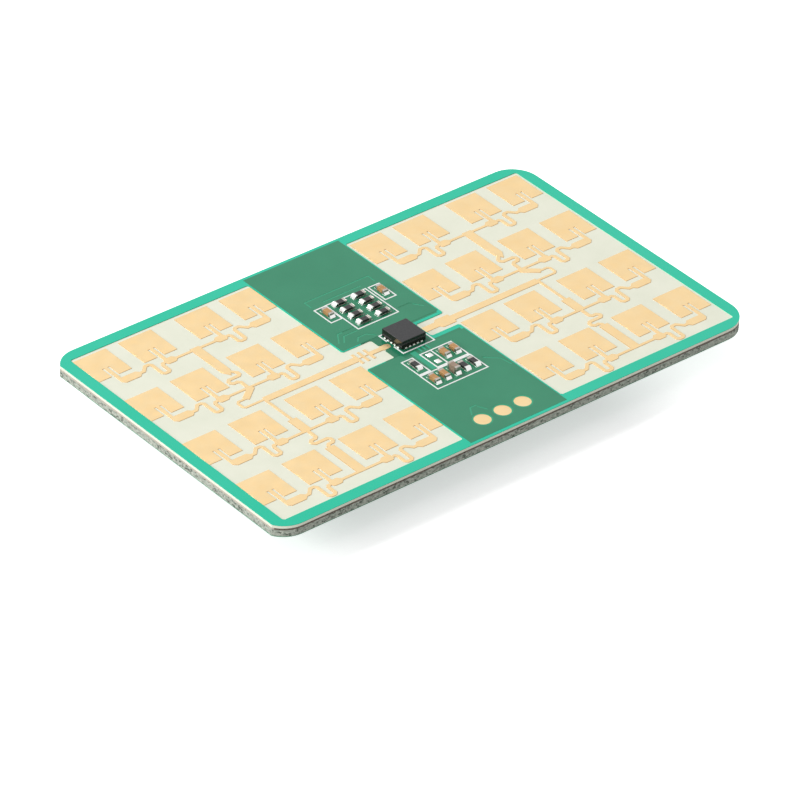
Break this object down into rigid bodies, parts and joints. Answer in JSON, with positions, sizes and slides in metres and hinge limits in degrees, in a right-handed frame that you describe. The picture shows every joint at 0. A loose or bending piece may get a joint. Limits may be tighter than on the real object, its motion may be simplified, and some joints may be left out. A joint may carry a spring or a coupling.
{
  "type": "microwave radar sensor module",
  "caption": "Small radar sensor board with etched patch antenna arrays on both sides of a central radar chip, standing on low socket strips.",
  "frame": {"origin": "middle of the board in plan, on the surface that the socket strips stand on", "axes": "+X along the long side, +Y along the short side towards the edge away from the round test pads, +Z out of the antenna face"},
  "size_m": [0.0596, 0.0356, 0.0052],
  "materials": {
    "glass_epoxy": "matt, cut fibre edge",
    "bond_sheet": "matt, cut edge",
    "microwave_laminate": "smooth matt",
    "mask_top": "semi-gloss",
    "mask_bottom": "semi-gloss",
    "gold_finish": "matt immersion gold",
    "pour_copper": "bright foil under the mask",
    "solder": "bright reflowed solder",
    "white_print": "matt ink",
    "moulded_black": "fine matt moulding",
    "tinned_leads": "tin plated",
    "can_metal": "plated lid",
    "socket_plastic": "moulded",
    "contact_metal": "gold flashed",
    "resistor_ceramic": "black glaze over ceramic",
    "capacitor_ceramic": "sintered ceramic"
  },
  "bodies": {
    "root": {"amplifier_body": "moulded_black", "amplifier_leads": "tinned_leads", "antenna_copper_left": "gold_finish", "antenna_copper_right": "gold_finish", "base_laminate": "glass_epoxy", "bond_layer": "bond_sheet", "component_lands": "solder", "controller_body": "moulded_black", "controller_leads": "tinned_leads", "crystal": "can_metal", "ground_pour": "pour_copper", "lower_capacitor_1": "capacitor_ceramic", "lower_capacitor_2": "capacitor_ceramic", "lower_capacitor_3": "capacitor_ceramic", "lower_resistor_1": "resistor_ceramic", "lower_resistor_2": "resistor_ceramic", "pair_capacitor_1": "capacitor_ceramic", "pair_capacitor_2": "capacitor_ceramic", "printed_outlines": "white_print", "radar_chip_body": "moulded_black", "radar_chip_terminals": "tinned_leads", "regulator_body": "moulded_black", "regulator_leads": "tinned_leads", "rf_laminate": "microwave_laminate", "side_capacitor_left": "capacitor_ceramic", "side_capacitor_right": "capacitor_ceramic", "single_resistor": "resistor_ceramic", "socket_left_body": "socket_plastic", "socket_left_contacts": "contact_metal", "socket_right_body": "socket_plastic", "socket_right_contacts": "contact_metal", "solder_mask_bottom": "mask_bottom", "solder_mask_top": "mask_top", "test_pad_1": "gold_finish", "test_pad_2": "gold_finish", "test_pad_3": "gold_finish", "under_capacitor_1": "capacitor_ceramic", "under_capacitor_2": "capacitor_ceramic", "under_capacitor_3": "capacitor_ceramic", "under_resistor_1": "resistor_ceramic", "under_resistor_2": "resistor_ceramic", "under_resistor_3": "resistor_ceramic", "underside_lands": "solder", "upper_resistor_1": "resistor_ceramic", "upper_resistor_2": "resistor_ceramic", "upper_resistor_3": "resistor_ceramic", "upper_resistor_4": "resistor_ceramic", "upper_resistor_5": "resistor_ceramic", "upper_resistor_6": "resistor_ceramic", "upper_resistor_7": "resistor_ceramic", "upper_resistor_8": "resistor_ceramic"}
  },
  "joints": []
}
